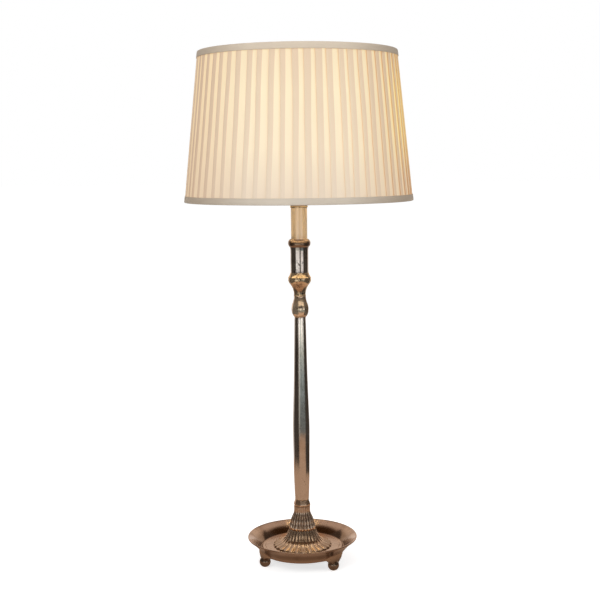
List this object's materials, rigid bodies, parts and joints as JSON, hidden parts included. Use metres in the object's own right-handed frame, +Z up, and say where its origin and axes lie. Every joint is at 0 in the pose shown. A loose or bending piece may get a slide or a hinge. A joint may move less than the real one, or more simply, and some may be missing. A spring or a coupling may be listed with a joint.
{
  "type": "candlestick lamp",
  "caption": "Table lamp: octagonal candlestick on a dished tray with ball feet, ivory candle tube, bayonet lampholder and a tapered knife-pleated shade.",
  "frame": {"origin": "on the surface the lamp stands on, under its vertical axis", "axes": "+Z up along the lamp's axis, -Y towards the front, +X to the right seen from the front"},
  "size_m": [0.3571, 0.357, 0.814],
  "materials": {
    "silver_plate": "aged silver plate over brass, warm tone, fine wear",
    "tray_plate": "aged silver plate, worn to a warm brown tone",
    "rod_steel": "zinc plated, threaded",
    "weight_iron": "black painted cast iron",
    "bush_nylon": "natural nylon",
    "tube_ivory": "satin ivory candle tube",
    "holder_brass": "polished brass",
    "insulation": "moulded phenolic",
    "porcelain": "glazed porcelain",
    "switch_plastic": "ivory push bar",
    "contact_metal": "bright brass contacts and springs",
    "cap_metal": "drawn aluminium bulb cap",
    "bulb_envelope": "pearl glass envelope, lit",
    "bulb_clear_glass": "clear glass mount",
    "filament_wire": "tungsten coil and leads",
    "pleat_fabric": "ivory pleated fabric, knife pleats",
    "liner_card": "translucent laminated liner",
    "trim_tape": "taupe bias tape",
    "ring_white": "white coated wire"
  },
  "bodies": {
    "base": {"ball_foot_front_right": "silver_plate", "ball_foot_front_left": "silver_plate", "ball_foot_back": "silver_plate", "tray": "tray_plate", "base_weight": "weight_iron", "base_washer": "rod_steel", "base_nut": "rod_steel", "threaded_rod": "rod_steel", "rod_bush": "bush_nylon", "fluted_foot": "silver_plate", "fluted_bell": "silver_plate", "stem_collar": "silver_plate", "stem": "silver_plate", "vase_knop": "silver_plate", "socket_knop": "silver_plate", "candle_socket": "silver_plate", "socket_washer": "rod_steel", "socket_nut": "rod_steel", "candle_tube": "tube_ivory", "tube_cap": "holder_brass", "holder_base": "holder_brass", "switch_block": "insulation", "terminal_screws": "contact_metal", "holder_insert": "porcelain", "plunger_spring_front": "contact_metal", "plunger_spring_back": "contact_metal", "holder_shell": "holder_brass", "lower_shade_ring": "holder_brass", "upper_shade_ring": "holder_brass"},
    "switch": {"switch_bar": "switch_plastic"},
    "contact_front": {"plunger_front": "contact_metal"},
    "contact_back": {"plunger_back": "contact_metal"},
    "bulb": {"bulb_cap": "cap_metal", "bulb_pins": "contact_metal", "bulb_insulator": "insulation", "bulb_contacts": "contact_metal", "bulb_glass": "bulb_envelope", "bulb_stem": "bulb_clear_glass", "bulb_filament": "filament_wire"},
    "shade": {"shade_bottom_ring": "ring_white", "shade_top_ring": "ring_white", "shade_liner": "liner_card", "pleated_cover": "pleat_fabric", "top_trim": "trim_tape", "bottom_trim": "trim_tape", "fitter_ring": "ring_white", "fitter_spoke_1": "ring_white", "fitter_spoke_2": "ring_white", "fitter_spoke_3": "ring_white", "fitter_spoke_4": "ring_white"}
  },
  "joints": [
    {"name": "shade_turn", "type": "hinge", "parent": "base", "child": "shade", "pos_m": [0, 0, 0.603], "axis": [0, 0, 1], "continuous": true},
    {"name": "bulb_twist", "type": "hinge", "parent": "base", "child": "bulb", "pos_m": [0, 0, 0.62], "axis": [0, 0, 1], "range_deg": [0, 20]},
    {"name": "switch_push", "type": "slide", "parent": "base", "child": "switch", "axis": [-1, 0, 0], "range_m": [0, 0.004]},
    {"name": "contact_press_front", "type": "slide", "parent": "base", "child": "contact_front", "axis": [0, 0, -1], "range_m": [0, 0.0015], "stiffness_N_per_m": 400, "springref_m": -0.004, "deforming": ["plunger_spring_front"]},
    {"name": "contact_press_back", "type": "slide", "parent": "base", "child": "contact_back", "axis": [0, 0, -1], "range_m": [0, 0.0015], "stiffness_N_per_m": 400, "springref_m": -0.004, "deforming": ["plunger_spring_back"]}
  ]
}
